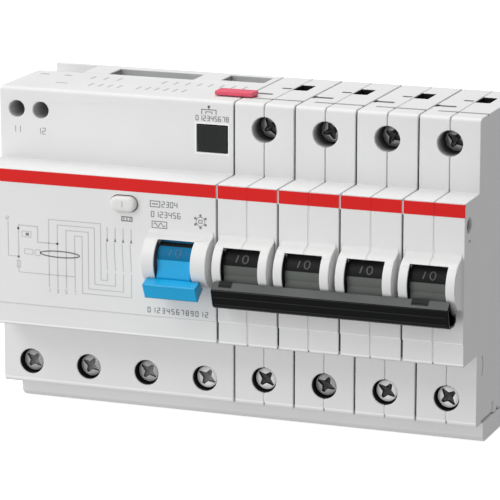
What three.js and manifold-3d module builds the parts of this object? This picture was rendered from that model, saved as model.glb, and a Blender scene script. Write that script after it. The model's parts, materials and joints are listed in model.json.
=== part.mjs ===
// Residual current circuit breaker for a DIN rail: a four-module residual current block on the left,
// joined to four single-pole overcurrent breakers on the right.
//
// Millimetres. X runs along the rail, -Y is the front, +Z is up. The origin lies on the plane where the
// unit seats on the rail, at the height of the rail's centre line, where the two blocks meet.

import * as THREE from 'three'
import { mergeVertices } from 'three/addons/utils/BufferGeometryUtils.js'
import Module from 'manifold-3d'

// ---------------------------------------------------------------- driving dimensions

const MODULE = 17.5              // width of one module along the rail
const POLES = 4                  // breaker poles, and modules in the residual current block
const TOP = 42.5                 // half the height of the body
const FACE = -44.5               // front of the terminal faces
const NOSE = -57.7               // front of the raised nose
const NOSE_TOP = 22.3            // half the height of the nose
const BACK = -3.8                // rear of the body above and below the rail feet
const FOOT = 5.5                 // rear of the feet, behind the rail edge
const WALL = 1.6                 // moulded wall
const SIDE_WALL = 1.2            // side wall of a module
const GAP = 0.3                  // clearance between separate pieces
const SPLIT = -19.4              // where the cover of the residual current block ends

const RAIL_HALF = 17.5           // half the height of the rail
const RAIL_EDGE = 14.5           // the seat reaches this far up and down
const HOOK_BACK = 1.3            // front of the hook that grips behind the rail edge
const HOOK_TIP = 15.5            // the hook and the clips overlap the rail edge down to here

const PIVOT = { y: -57.2, z: 0.4 }   // axle of every toggle
const BULGE = 7.1                // radius of the bulge around the toggles
const DRUM = 5.5                 // radius of a toggle's drum
const DRUM_POCKET = DRUM + GAP
const BAR_CLEARANCE = 7.8        // the tie bar runs outside this radius

const HALF_SEAM = GAP / 2        // half the seam between the two shells of a pole
const SIDE_GAP = 0.25            // from the side of a module to the grid line beside it
const MODULE_HALF = MODULE / 2 - SIDE_GAP
const BULGE_HALF = 7.85          // half the width of a pole's bulge
const WINDOW_HALF = 5.25         // half the width of a toggle window
const WINDOW_TOP = 5.8
const AXLE = 1.1                 // radius of a toggle's axle
const AXLE_HALF = 6.3

const LINE_Z = 35.25             // upper terminals of the poles
const LOAD_Z = -34.9             // lower terminals of the poles
const RCD_LOAD_Z = -36.1         // lower terminals of the residual current block
const SCREW_HOLE = 3.6           // radius of a screw hole
const CAGE_HALF = 5.4            // half the width of a terminal cage
const CAGE_WALL = 1.2
const CAGE_HEIGHT = 8

const ENTRY = [-3, 3]            // lower wire entries, across
const LINE_ENTRY = [-HALF_SEAM, 4.2]   // upper wire entries, right of the seam
const TRIP_AXIS = { y: -53.6, z: 15.5 }

const TRAY_FLOOR = -48.4         // underside of the connection tray
const TRAY_FRONT = -38
const TRAY_BEVEL = { front: -46.8, back: -36.2 }   // the slanted face along the lower front edge
const TRAY_LEFT = -67.3

// Everything that a terminal needs to know, front to back along Y.
const POLE_TERMINAL = { bar: [-23, -21.5], cage: [-33, -12.3], entry: [-21.5, -14] }
const RCD_TERMINAL = { bar: [-30, -28.5], cage: [-35.4, -19.9], entry: [-28, -21.5] }
const LINE_HEAD = -39            // front of the upper screw heads, set deeper
const LOAD_HEAD = -42.6          // front of the lower screw heads
const LINE_GUIDE_BACK = -36.5
const LOAD_GUIDE_BACK = -38.9
const RCD_GUIDE_BACK = -40.2

const poleCentre = (index) => MODULE * (index + 0.5)
const rcdCentre = (index) => MODULE * (index + 0.5 - POLES)
const poleNumbers = Array.from({ length: POLES }, (_, index) => index)

// ---------------------------------------------------------------- solids

const wasm = await Module()
wasm.setup()

// A closed three.js geometry as a solid that can be joined and cut. Its corners snap to a fine grid,
// so that faces drawn to the same size meet exactly.
const GRID = 1 / 1024
function solid(geometry) {
  geometry.deleteAttribute('normal')
  geometry.deleteAttribute('uv')
  const coordinates = geometry.attributes.position.array
  coordinates.forEach((value, index) => {
    coordinates[index] = Math.round(value / GRID) * GRID
  })
  const merged = mergeVertices(geometry, GRID / 2)
  const corners = merged.index.array
  const triangles = []
  for (let i = 0; i < corners.length; i += 3) {
    const [a, b, c] = [corners[i], corners[i + 1], corners[i + 2]]
    if (a !== b && b !== c && c !== a) triangles.push(a, b, c)
  }
  return new wasm.Manifold(new wasm.Mesh({
    numProp: 3,
    vertProperties: merged.attributes.position.array,
    triVerts: Uint32Array.from(triangles),
  }))
}

function block([x0, x1], [y0, y1], [z0, z1]) {
  const box = new THREE.BoxGeometry(x1 - x0, y1 - y0, z1 - z0)
  box.translate((x0 + x1) / 2, (y0 + y1) / 2, (z0 + z1) / 2)
  return solid(box)
}

// Turns a drawn (across, up, depth) into the named directions.
const X_AXIS = new THREE.Vector3(1, 0, 0)
const Y_AXIS = new THREE.Vector3(0, 1, 0)
const Z_AXIS = new THREE.Vector3(0, 0, 1)
const DRAWN_ON_YZ = new THREE.Matrix4().makeBasis(Y_AXIS, Z_AXIS, X_AXIS)
const DRAWN_ON_XZ = new THREE.Matrix4().makeBasis(X_AXIS, Z_AXIS, Y_AXIS.clone().negate())

// A side-view shape (Y across, Z up) swept from one X to another.
function sideways(shape, [x0, x1], curveSegments = 3) {
  const geometry = new THREE.ExtrudeGeometry(shape, { depth: x1 - x0, bevelEnabled: false, curveSegments })
  geometry.applyMatrix4(DRAWN_ON_YZ)
  geometry.translate(x0, 0, 0)
  return solid(geometry)
}

// A front-view shape (X across, Z up) swept from one Y to another.
function frontways(shape, [y0, y1], curveSegments = 3) {
  const geometry = new THREE.ExtrudeGeometry(shape, { depth: y1 - y0, bevelEnabled: false, curveSegments })
  geometry.applyMatrix4(DRAWN_ON_XZ)
  geometry.translate(0, y1, 0)
  return solid(geometry)
}

// A round bar along an axis; the centre is given in the two other directions, in X, Y, Z order.
function rod(axis, radius, [from, to], [a, b], sides = 20) {
  const middle = (from + to) / 2
  const geometry = new THREE.CylinderGeometry(radius, radius, to - from, sides)
  if (axis === 'x') {
    geometry.rotateZ(-Math.PI / 2)
    geometry.translate(middle, a, b)
  } else if (axis === 'y') {
    geometry.translate(a, middle, b)
  } else {
    geometry.rotateX(Math.PI / 2)
    geometry.translate(a, b, middle)
  }
  return solid(geometry)
}

// A closed outline through corners [across, up, radius]; a corner without a radius stays sharp.
function outline(corners) {
  const shape = new THREE.Shape()
  corners.forEach(([across, up, radius = 0], index) => {
    const corner = new THREE.Vector2(across, up)
    const towards = (other) => new THREE.Vector2(other[0], other[1]).sub(corner).setLength(radius).add(corner)
    const start = towards(corners.at(index - 1))
    const end = towards(corners[(index + 1) % corners.length])
    if (index === 0) shape.moveTo(start.x, start.y)
    else shape.lineTo(start.x, start.y)
    if (radius > 0) shape.quadraticCurveTo(across, up, end.x, end.y)
  })
  return shape
}

const joined = (pieces) => pieces.reduce((whole, piece) => whole.add(piece))
const cutBy = (body, tools) => tools.reduce((rest, tool) => rest.subtract(tool), body)
const ordered = (a, b) => [Math.min(a, b), Math.max(a, b)]
const degrees = (angle) => angle * Math.PI / 180

// ---------------------------------------------------------------- finishes and meshes

const FINISHES = {
  housing: { color: 0xd9dad8, roughness: 0.55, metalness: 0 },
  toggleBlack: { color: 0x232524, roughness: 0.45, metalness: 0 },
  barBlack: { color: 0x161817, roughness: 0.35, metalness: 0 },
  blue: { color: 0x1f93cb, roughness: 0.4, metalness: 0 },
  button: { color: 0xe6e6e3, roughness: 0.5, metalness: 0 },
  window: { color: 0x2b2f2e, roughness: 0.3, metalness: 0 },
  clipRed: { color: 0xd8516a, roughness: 0.5, metalness: 0 },
  railClip: { color: 0x4a4d4f, roughness: 0.6, metalness: 0 },
  zinc: { color: 0x9a9c9b, roughness: 0.35, metalness: 0.9 },
  steel: { color: 0x8c8f92, roughness: 0.4, metalness: 0.9 },
  copper: { color: 0xb87348, roughness: 0.35, metalness: 0.95 },
  core: { color: 0x5b5048, roughness: 0.6, metalness: 0.2 },
  relay: { color: 0x2d3a42, roughness: 0.5, metalness: 0 },
}

function piece(name, body, finish) {
  const { vertProperties, triVerts } = body.getMesh()
  const geometry = new THREE.BufferGeometry()
  geometry.setAttribute('position', new THREE.BufferAttribute(vertProperties, 3))
  geometry.setIndex(new THREE.BufferAttribute(triVerts, 1))
  const mesh = new THREE.Mesh(geometry, new THREE.MeshStandardMaterial(FINISHES[finish]))
  mesh.name = name
  return mesh
}

function placed(object, x, y, z) {
  object.position.set(x, y, z)
  return object
}

// ---------------------------------------------------------------- body outlines

const STEP_Z = -16               // below this line the nose steps back a little
const STEP_DEPTH = 0.45

// Side view of the housing: terminal faces, nose, and the feet that hold the rail.
const HOUSING_OUTLINE = outline([
  [FACE, TOP, 1.4],
  [BACK, TOP, 0.6],
  [BACK, 31],
  [FOOT, 26],
  [FOOT, RAIL_HALF],
  [2.8, HOOK_TIP],
  [HOOK_BACK, HOOK_TIP],
  [HOOK_BACK, RAIL_HALF + 0.2],
  [-0.4, RAIL_HALF + 0.2],
  [-0.4, RAIL_EDGE],
  [0, RAIL_EDGE],
  [0, -RAIL_EDGE],
  [-0.4, -RAIL_EDGE],
  [-0.4, -RAIL_HALF - 0.4],
  [FOOT, -RAIL_HALF - 0.4],
  [FOOT, -30],
  [BACK, -35],
  [BACK, -TOP, 0.6],
  [FACE, -TOP, 1.2],
  [FACE, -NOSE_TOP],
  [NOSE + STEP_DEPTH, -NOSE_TOP, 0.6],
  [NOSE + STEP_DEPTH, STEP_Z],
  [NOSE, STEP_Z],
  [NOSE, NOSE_TOP, 0.7],
  [FACE, NOSE_TOP],
])

// Side view of the bulge around a toggle: a part circle about the pivot, faired into the nose above it.
function bulgeOutline() {
  const fairing = 1.6
  const faceOffset = NOSE - PIVOT.y
  const fairingY = faceOffset - fairing
  const fairingZ = Math.sqrt((BULGE + fairing) ** 2 - fairingY ** 2)
  const meet = Math.atan2(-fairingZ, -fairingY)
  const shape = new THREE.Shape()
  shape.moveTo(NOSE + 1, PIVOT.z + fairingZ)
  shape.lineTo(NOSE, PIVOT.z + fairingZ)
  shape.absarc(PIVOT.y + fairingY, PIVOT.z + fairingZ, fairing, 0, meet, true)
  shape.absarc(PIVOT.y, PIVOT.z, BULGE, meet + Math.PI, degrees(262), false)
  shape.lineTo(NOSE + 1, PIVOT.z - BULGE)
  return shape
}
const BULGE_OUTLINE = bulgeOutline()
const BULGE_SEGMENTS = 9

// Room for a toggle: the window through the bulge, the pocket of its drum and blind holes for its axle.
function toggleRoom(centre, windowTop) {
  const across = [centre - WINDOW_HALF, centre + WINDOW_HALF]
  return [
    block(across, [NOSE - BULGE - 2, NOSE], [-10, windowTop]),
    rod('x', DRUM_POCKET, across, [PIVOT.y, PIVOT.z], 24),
    rod('x', AXLE + GAP, [centre - AXLE_HALF - GAP, centre + AXLE_HALF + GAP], [PIVOT.y, PIVOT.z], 12),
  ]
}

// The block behind the nose that a toggle's axle turns in.
const toggleBearing = (centre) => block(
  [centre - AXLE_HALF - 1.2, centre + AXLE_HALF + 1.2], [NOSE + 0.5, PIVOT.y + 3], [-2.6, 3.4],
)

// ---------------------------------------------------------------- terminals

const SCREW_HEAD = 3.15
const HEAD_LENGTH = 2.2
const SHANK = 2

// A clamp screw about its own axis, with its head's front at y = 0 and a cross-and-slot recess.
function clampScrew(length) {
  const recess = 1.3
  const head = rod('y', SCREW_HEAD, [0, HEAD_LENGTH], [0, 0], 18)
  const shank = rod('y', SHANK, [HEAD_LENGTH - 0.5, length], [0, 0], 10)
  return cutBy(head.add(shank), [
    block([-SCREW_HEAD, SCREW_HEAD], [-1, recess], [-0.5, 0.5]),
    block([-0.5, 0.5], [-1, recess], [-1.9, 1.9]),
  ])
}

// The cage that a clamp screw draws forward: a ring open above and below, where the wire passes.
function cage([front, back]) {
  const outer = block([-CAGE_HALF, CAGE_HALF], [front, back], [-CAGE_HEIGHT / 2, CAGE_HEIGHT / 2])
  const inside = CAGE_HALF - CAGE_WALL
  const roomDepth = [front + CAGE_WALL + 0.4, back - CAGE_WALL - 0.3]
  const room = block([-inside, inside], roomDepth, [-CAGE_HEIGHT, CAGE_HEIGHT])
  return cutBy(outer, [room, rod('y', SHANK + 0.5, [front - 1, front + 3], [0, 0], 10)])
}

// The guide around a clamp screw's head, inside the front wall.
const screwGuide = (x, z, back) => block([x - 4.6, x + 4.6], [FACE + 0.5, back], [z - 4.6, z + 4.6])
const screwHole = (x, z) => rod('y', SCREW_HOLE, [FACE - 1, LINE_GUIDE_BACK + 0.5], [x, z], 24)

// Screw and cage of one terminal, under the names that its pole or block gives them.
function terminal({ screwName, cageName, x, z, head, layout, turn }) {
  const screw = piece(screwName, clampScrew(layout.bar[0] - GAP - head), 'zinc')
  screw.rotation.y = turn
  const ring = piece(cageName, cage(layout.cage), 'steel')
  return [placed(screw, x, head, z), placed(ring, x, 0, z)]
}

// ---------------------------------------------------------------- breaker pole

// One half of a pole's housing, drawn about the pole's centre: side is -1 for left and +1 for right.
function poleShell(side) {
  const span = ordered(side * HALF_SEAM, side * MODULE_HALF)
  const hollow = ordered(0, side * (MODULE_HALF - SIDE_WALL))
  const half = block(span, [-80, 10], [-60, 60])
  const bulge = sideways(BULGE_OUTLINE, ordered(side * HALF_SEAM, side * BULGE_HALF), BULGE_SEGMENTS)
  const shell = cutBy(sideways(HOUSING_OUTLINE, span), [
    block(hollow, [FACE + WALL, BACK - WALL], [WALL - TOP, TOP - WALL]),
    block(hollow, [NOSE + WALL + STEP_DEPTH, FACE + WALL + 1], [WALL - NOSE_TOP, NOSE_TOP - WALL]),
  ])
  const guides = [
    screwGuide(0, LINE_Z, LINE_GUIDE_BACK).intersect(half),
    screwGuide(0, LOAD_Z, LOAD_GUIDE_BACK).intersect(half),
  ]
  return cutBy(joined([shell, bulge, toggleBearing(0).intersect(half), ...guides]), [
    ...toggleRoom(0, WINDOW_TOP),
    screwHole(0, LINE_Z),
    screwHole(0, LOAD_Z),
    block(LINE_ENTRY, [-22.3, -13.6], [TOP - 4, TOP + 1]),
    wireEntry(0, POLE_TERMINAL, [-TOP - 1, 4 - TOP]),
    rod('x', 2.3, [-MODULE, MODULE], [TRIP_AXIS.y, TRIP_AXIS.z], 12),
    ...poleTopSlots(),
    ...poleSideNotches(),
  ])
}

const wireEntry = (x, { entry }, height) => block([x + ENTRY[0], x + ENTRY[1]], entry, height)

// Shallow moulded slots in the top of a pole.
function poleTopSlots() {
  const shallow = [TOP - 0.7, TOP + 1]
  return [
    block([-3.3, -1], [-21.4, -20.7], shallow),
    block([-MODULE, -2.8], [-31, -29.7], shallow),
    block([-5.5, MODULE], [-37.8, -36.9], shallow),
  ]
}

// Notches at the lower outside corners of a pole, where neighbours are keyed together.
function poleSideNotches() {
  const deep = MODULE_HALF - 0.7
  return [-1, 1].flatMap((side) => {
    const across = ordered(side * deep, side * MODULE)
    return [
      block(across, [-40, -28], [-TOP - 1, -TOP + 1]),
      block(across, [-30, -28], [-TOP - 1, -38.9]),
      block(across, [-25.4, -23.4], [-TOP - 1, -TOP + 0.9]),
    ]
  })
}

const STEM_HALF = WINDOW_HALF - GAP
const FIN = { half: 3, thick: 1.8, reach: 9.3, angle: degrees(-54) }

// A point at a radius and an angle from a pivot; angle 0 points to the front and positive is up.
const polar = (radius, angle) => [-radius * Math.cos(angle), radius * Math.sin(angle)]

// A pole's toggle about its pivot: drum, axle, and the stem with its fin that enters the tie bar.
function poleToggle() {
  const stem = outline([
    [...polar(DRUM - 0.1, degrees(-15))],
    [...polar(7.5, degrees(-40)), 0.2],
    [...polar(7.5, degrees(-66)), 0.2],
    [...polar(DRUM - 0.1, degrees(-74))],
    [0, -2],
  ])
  const fin = new THREE.BoxGeometry(2 * FIN.half, FIN.reach - 5, FIN.thick)
  fin.translate(0, -(FIN.reach + 5) / 2, 0)
  fin.rotateX(-FIN.angle)
  return joined([
    rod('x', DRUM, [-STEM_HALF, STEM_HALF], [0, 0], 28),
    rod('x', AXLE, [-AXLE_HALF, AXLE_HALF], [0, 0], 12),
    sideways(stem, [-STEM_HALF, STEM_HALF]),
    solid(fin),
  ])
}

// The bar that ties the four toggles, about the pivot, hollowed to clear the bulges.
function tieBar() {
  const [left, right] = [1.5, POLES * MODULE - 2]
  const wall = 0.8
  const section = outline([
    [...polar(BAR_CLEARANCE - 0.6, degrees(-24))],
    [-9.4, -5.4, 0.5],
    [-7.8, -10.7, 1.6],
    [-3.1, -10.9, 0.8],
    [-1.5, -9.8, 0.4],
    [...polar(BAR_CLEARANCE - 0.6, degrees(-76))],
  ])
  const hollow = outline([
    [-7.3, -4.2, 0.3],
    [-8.4, -5.6, 0.4],
    [-7.2, -9.9, 1],
    [-3.3, -10.1, 0.4],
    [-2.4, -9.4, 0.3],
    [-2.4, -7, 0],
  ])
  const innerFace = rod('x', BAR_CLEARANCE + wall, [left - 2, right + 2], [0, 0], 48)
  const hollowEnds = [[left - 1, left + 3], [right - 3, right + 1]].map(
    (span) => sideways(hollow, span).subtract(innerFace),
  )
  const catchNotches = [[3.3, 7.1], [57.5, 62.3]].map((span) => block(span, [-8, -5], [-4.3, -1]))
  const pockets = poleNumbers.map((index) => {
    const pocket = new THREE.BoxGeometry(2 * (FIN.half + GAP), FIN.reach + GAP - 5, FIN.thick + 2 * GAP)
    pocket.translate(0, -(FIN.reach + GAP + 5) / 2, 0)
    pocket.rotateX(-FIN.angle)
    pocket.translate(poleCentre(index), 0, 0)
    return solid(pocket)
  })
  return cutBy(sideways(section, [left, right]), [
    rod('x', BAR_CLEARANCE, [left - 1, right + 1], [0, 0], 48),
    ...pockets,
    ...hollowEnds,
    ...catchNotches,
  ])
}

const ARM = { y: -36, z: 5, length: 17 }

// The moving contact about its own pivot: hub, arm and contact button.
function contactArm() {
  return joined([
    rod('x', 2.2, [-2, 2], [0, 0], 12),
    block([-1.5, 1.5], [0, ARM.length + 1.5], [-1, 1]),
    rod('z', 1.2, [0.5, 1.8], [0, ARM.length], 8),
  ])
}

// Everything that stays still in a pole's current path: fixed contact, arc chute, coil and bars.
function tripUnit() {
  const [barFront, barBack] = POLE_TERMINAL.bar
  const frame = [-6.9, -5.5]
  const chute = cutBy(
    block([frame[0], 6], [-16, -8], [-3, 17]),
    [0, 1, 2].map((slot) => block([-5, 7], [-17, -9.5], [-1 + 6 * slot, 2 + 6 * slot])),
  )
  return joined([
    block([-3.6, 3.6], POLE_TERMINAL.bar, [31.5, 39]),
    block([-1.5, 1.5], POLE_TERMINAL.bar, [11.8, 32]),
    block([-1.5, 1.5], [barFront, -18], [11.8, 13.3]),
    block([-6.9, 1], POLE_TERMINAL.bar, [15, 18]),
    block(frame, [-32, -8], [-20, 18]),
    chute,
    rod('z', 4.5, [-18, -4], [0, -30], 14),
    block([-6.9, 0], [-31, -29], [-12, -10]),
    block([-1.5, 1.5], [-27, barBack], [-18, -15]),
    block([-1.5, 1.5], POLE_TERMINAL.bar, [-32, -15]),
    block([-3.6, 3.6], POLE_TERMINAL.bar, [-38.6, -31]),
  ])
}

// Screwdriver turns left where the last hand left them.
const LINE_TURNS = [35, -20, 28, -38].map(degrees)
const LOAD_TURNS = [40, 24, 33, 50].map(degrees)
const RCD_TURNS = [38, 30, 36, 31].map(degrees)

function pole(index) {
  const name = `pole_${index + 1}`
  const group = new THREE.Group()
  const line = terminal({
    screwName: `${name}_line_screw`, cageName: `${name}_line_cage`,
    x: 0, z: LINE_Z, head: LINE_HEAD, layout: POLE_TERMINAL, turn: LINE_TURNS[index],
  })
  const load = terminal({
    screwName: `${name}_load_screw`, cageName: `${name}_load_cage`,
    x: 0, z: LOAD_Z, head: LOAD_HEAD, layout: POLE_TERMINAL, turn: LOAD_TURNS[index],
  })
  const offset = poleCentre(index)
  group.add(
    piece(`${name}_left_shell`, keyedToNeighbours(poleShell(-1), offset), 'housing'),
    piece(`${name}_right_shell`, keyedToNeighbours(poleShell(1), offset), 'housing'),
    placed(piece(`${name}_toggle`, poleToggle(), 'toggleBlack'), 0, PIVOT.y, PIVOT.z),
    placed(piece(`${name}_contact_arm`, contactArm(), 'copper'), 0, ARM.y, ARM.z),
    piece(`${name}_trip_unit`, tripUnit(), 'steel'),
    ...line,
    ...load,
  )
  return placed(group, offset, 0, 0)
}

// ---------------------------------------------------------------- rail clips

const CLIP_HALF = 10
const POLE_CLIP_X = POLES * MODULE / 2
const RCD_CLIP_X = -POLE_CLIP_X
const CLIP_TRAVEL = 4
const CLIP_FRONT = 3.2

// The channel in the lower feet that a rail clip slides in, and the room its lip moves through.
function clipChannel(centre) {
  const across = [centre - CLIP_HALF - GAP, centre + CLIP_HALF + GAP]
  const lipEnd = -RAIL_HALF - 0.4 - CLIP_TRAVEL - 0.4
  return joined([
    block(across, [CLIP_FRONT - GAP, FOOT + 1], [-60, -RAIL_EDGE]),
    block(across, [-0.4, FOOT + 1], [lipEnd, -RAIL_EDGE - 0.1]),
  ])
}

// A spring clip behind the rail's lower edge, with a slotted tail to pull it down.
function railClip() {
  const tailEnd = -46
  return cutBy(
    joined([
      block([-CLIP_HALF, CLIP_HALF], [CLIP_FRONT, FOOT], [-40, -HOOK_TIP]),
      block([-CLIP_HALF, CLIP_HALF], [HOOK_BACK, CLIP_FRONT + 0.5], [-RAIL_HALF - 0.4, -HOOK_TIP]),
      block([-5, 5], [CLIP_FRONT, FOOT], [tailEnd, -39]),
    ]),
    [block([-2.6, 2.6], [CLIP_FRONT - 1, FOOT + 1], [tailEnd + 1.6, tailEnd + 3.4])],
  )
}

// Slots that differ from pole to pole, because neighbours share the rail clip and the coupling clip.
function keyedToNeighbours(shell, offset) {
  const local = [clipChannel(POLE_CLIP_X - offset), couplingSlot(CLIP_LEG_X[1] - offset)]
  return cutBy(shell, local)
}

// ---------------------------------------------------------------- coupling clip

const CLIP_LEG_X = [-6.5, 2.4]
const CLIP_LEG = { half: 0.5, y: [-36, -34] }

const couplingSlot = (x) => block(
  [x - CLIP_LEG.half - GAP, x + CLIP_LEG.half + GAP],
  [CLIP_LEG.y[0] - GAP, CLIP_LEG.y[1] + GAP],
  [TOP - 4, TOP + 1],
)

function couplingClip() {
  const bridge = block([-8, 3.1], [-38.5, -33.6], [TOP + GAP, TOP + 1.5])
  const legs = CLIP_LEG_X.map((x) => block(
    [x - CLIP_LEG.half, x + CLIP_LEG.half], CLIP_LEG.y, [TOP - 3, TOP + 1],
  ))
  return joined([bridge, ...legs])
}

// ---------------------------------------------------------------- residual current block

const RCD_LEFT = -POLES * MODULE + SIDE_GAP
const RCD_RIGHT = -SIDE_GAP
const RCD_SPAN = [RCD_LEFT, RCD_RIGHT]
const RCD_TOGGLE_X = -10.6
const RCD_BULGE = [-19.6, -0.9]
const RCD_WINDOW_TOP = 6.5
const BUTTON = { x: -26.95, z: 14.95, half: 3.7, rise: 2.05 }
const INDICATOR = { x: [-10.9, -1.8], z: [27.9, 35.7] }
const AUX_X = [-64.65, -57.4]
const AUX_Z = 36.3
const AUX_HEAD = -36
const AUX_BOSS_BACK = -32.5
const AUX_HEAD_LENGTH = 1.3
const AUX_SHANK = 1.1

// A slot-shaped outline on the front, like a racetrack.
function racetrack(x, z, half, rise) {
  const straight = half - rise
  const shape = new THREE.Shape()
  shape.absarc(x + straight, z, rise, -Math.PI / 2, Math.PI / 2, false)
  shape.absarc(x - straight, z, rise, Math.PI / 2, 3 * Math.PI / 2, false)
  return shape
}

// The wide front cover, open at the back: faces, nose, toggle bulge and every opening in them.
function rcdCover() {
  const inside = [RCD_LEFT + SIDE_WALL, RCD_RIGHT - SIDE_WALL]
  const front = block([RCD_LEFT - 1, RCD_RIGHT + 1], [-80, SPLIT], [-60, 60])
  const shell = cutBy(sideways(HOUSING_OUTLINE, RCD_SPAN).intersect(front), [
    block(inside, [FACE + WALL, 0], [WALL - TOP, TOP - WALL]),
    block(inside, [NOSE + WALL + STEP_DEPTH, FACE + WALL + 1], [WALL - NOSE_TOP, NOSE_TOP - WALL]),
  ])
  const body = joined([
    shell,
    sideways(BULGE_OUTLINE, RCD_BULGE, BULGE_SEGMENTS),
    toggleBearing(RCD_TOGGLE_X),
    ...poleNumbers.map((index) => screwGuide(rcdCentre(index), RCD_LOAD_Z, RCD_GUIDE_BACK)),
    block([AUX_X[0] - 3.2, AUX_X[1] + 3.2], [FACE + 0.5, AUX_BOSS_BACK], [AUX_Z - 3.4, AUX_Z + 3.4]),
    springSeat(),
  ])
  return cutBy(body, [
    ...toggleRoom(RCD_TOGGLE_X, RCD_WINDOW_TOP),
    ...poleNumbers.map((index) => screwHole(rcdCentre(index), RCD_LOAD_Z)),
    ...poleNumbers.map((index) => wireEntry(rcdCentre(index), RCD_TERMINAL, [-TOP - 1, 4 - TOP])),
    ...AUX_X.map((x) => rod('y', 2.4, [FACE - 1, AUX_HEAD + AUX_HEAD_LENGTH + GAP], [x, AUX_Z], 20)),
    ...AUX_X.map((x) => rod('y', AUX_SHANK + GAP, [AUX_HEAD, AUX_BOSS_BACK + 1], [x, AUX_Z], 12)),
    frontways(racetrack(BUTTON.x, BUTTON.z, BUTTON.half + GAP, BUTTON.rise + GAP), [NOSE - 1, NOSE + 4], 6),
    block(INDICATOR.x, [FACE - 1, FACE + 3], INDICATOR.z),
    rod('x', 2.3, [-3, 1], [TRIP_AXIS.y, TRIP_AXIS.z], 12),
    conductorSlot([-TOP - 1, 4 - TOP]),
    couplingSlot(CLIP_LEG_X[0]),
  ])
}

const RECESS_FLOOR = 36

// The part behind the cover: rail seat and feet, top recesses, and the tray that carries the conductors.
function rcdBase() {
  const rear = block([RCD_LEFT - 1, RCD_RIGHT + 1], [SPLIT + GAP, 20], [-60, 60])
  const inside = [RCD_LEFT + SIDE_WALL, RCD_RIGHT - SIDE_WALL]
  const body = cutBy(sideways(HOUSING_OUTLINE, RCD_SPAN).intersect(rear), [
    block(inside, [SPLIT - 1, BACK - WALL - 1], [WALL - TOP, RECESS_FLOOR - WALL]),
    clipChannel(RCD_CLIP_X),
    ...topRecesses(),
  ])
  return body.add(connectionTray())
}

// Two pockets in the top, and a channel behind the left corner that leaves a thin wall at the rear.
function topRecesses() {
  const height = [RECESS_FLOOR, TOP + 1]
  return [
    block([-48.4, -22.7], [-17.3, -7.7], height),
    block([-15.1, -2.3], [-15.2, -6.3], height),
    block([RCD_LEFT - 1, -56.3], [-17.9, BACK - WALL], height),
  ]
}

// An open trough under both blocks, with a passage for each wire that enters from below.
function connectionTray() {
  const span = [TRAY_LEFT, POLES * MODULE - SIDE_GAP]
  const rimTop = -TOP - GAP
  const section = ([front, back], [floor, top], lift) => outline([
    [front, top],
    [front, TRAY_BEVEL.front + lift],
    [TRAY_BEVEL.back + lift, floor],
    [back, floor],
    [back, top],
  ])
  const trough = sideways(section([TRAY_FRONT, BACK], [TRAY_FLOOR, rimTop], 0), span)
  const hollow = sideways(
    section([TRAY_FRONT + 1, BACK - WALL], [TRAY_FLOOR + 1, 0], 0.5), [span[0] + 1.2, span[1] - 1.2],
  )
  const neck = block([span[0], RCD_RIGHT], [SPLIT + GAP, BACK], [TRAY_FLOOR, WALL - TOP])
  const neckHollow = block([span[0] + 1.2, RCD_RIGHT + 1], [SPLIT - 1, BACK - WALL], [TRAY_FLOOR + 1, rimTop])
  return cutBy(joined([cutBy(trough, [hollow]), cutBy(neck, [neckHollow])]), poleNumbers.map(
    (index) => wireEntry(rcdCentre(index), RCD_TERMINAL, [TRAY_FLOOR - 1, TRAY_FLOOR + 2]),
  ))
}

// The blue toggle about its pivot, with a T-shaped handle.
function rcdToggle() {
  const stem = outline([
    [...polar(DRUM - 0.1, degrees(-8))],
    [-5.9, -3.9],
    [-5, -6.6],
    [...polar(DRUM - 0.1, degrees(-76))],
    [0, -2],
  ])
  const handle = outline([
    [...polar(7.4, degrees(-34)), 0.3],
    [-9.5, -5.3, 0.5],
    [-7.4, -9.8, 0.8],
    [-3.4, -6.7, 0.4],
  ])
  const handleHalf = 7.7
  return joined([
    rod('x', DRUM, [-STEM_HALF, STEM_HALF], [0, 0], 28),
    rod('x', AXLE, [-AXLE_HALF, AXLE_HALF], [0, 0], 12),
    sideways(stem, [-STEM_HALF, STEM_HALF]),
    cutBy(sideways(handle, [-handleHalf, handleHalf]), [rod('x', 7.35, [-9, 9], [0, 0], 40)])
      .add(block([-STEM_HALF, STEM_HALF], [-7.2, -5.2], [-6.4, -4.6])),
  ])
}

const BUTTON_PROUD = 1.3
const BUTTON_FLANGE = NOSE + WALL + STEP_DEPTH + GAP
const SPRING = { front: -53.9, back: -49.8, radius: 1.5, wire: 0.35, turns: 5 }

// The test button about its own centre line; a flange behind the nose keeps it in.
function testButton() {
  return joined([
    frontways(racetrack(0, 0, BUTTON.half, BUTTON.rise), [NOSE - BUTTON_PROUD, BUTTON_FLANGE + 0.5], 6),
    frontways(racetrack(0, 0, BUTTON.half + 1, BUTTON.rise + 1), [BUTTON_FLANGE, BUTTON_FLANGE + 1], 6),
  ])
}

class Helix extends THREE.Curve {
  constructor(radius, turns, from, to) {
    super()
    Object.assign(this, { radius, turns, from, to })
  }
  getPoint(t, target = new THREE.Vector3()) {
    const angle = 2 * Math.PI * this.turns * t
    const along = THREE.MathUtils.lerp(this.from, this.to, t)
    return target.set(this.radius * Math.cos(angle), along, this.radius * Math.sin(angle))
  }
}

function testSpring() {
  const wire = new THREE.Shape()
  wire.absarc(0, 0, SPRING.wire, 0, 2 * Math.PI, false)
  const path = new Helix(SPRING.radius, SPRING.turns, SPRING.front, SPRING.back)
  return solid(new THREE.ExtrudeGeometry(wire, { extrudePath: path, steps: 44, curveSegments: 3 }))
}

// The ledge inside the nose that the button's spring pushes against.
const springSeat = () => block(
  [BUTTON.x - 4, BUTTON.x + 4],
  [SPRING.back + SPRING.wire + GAP, SPRING.back + SPRING.wire + GAP + 1.6],
  [BUTTON.z - 4, NOSE_TOP - 0.5],
)

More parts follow.
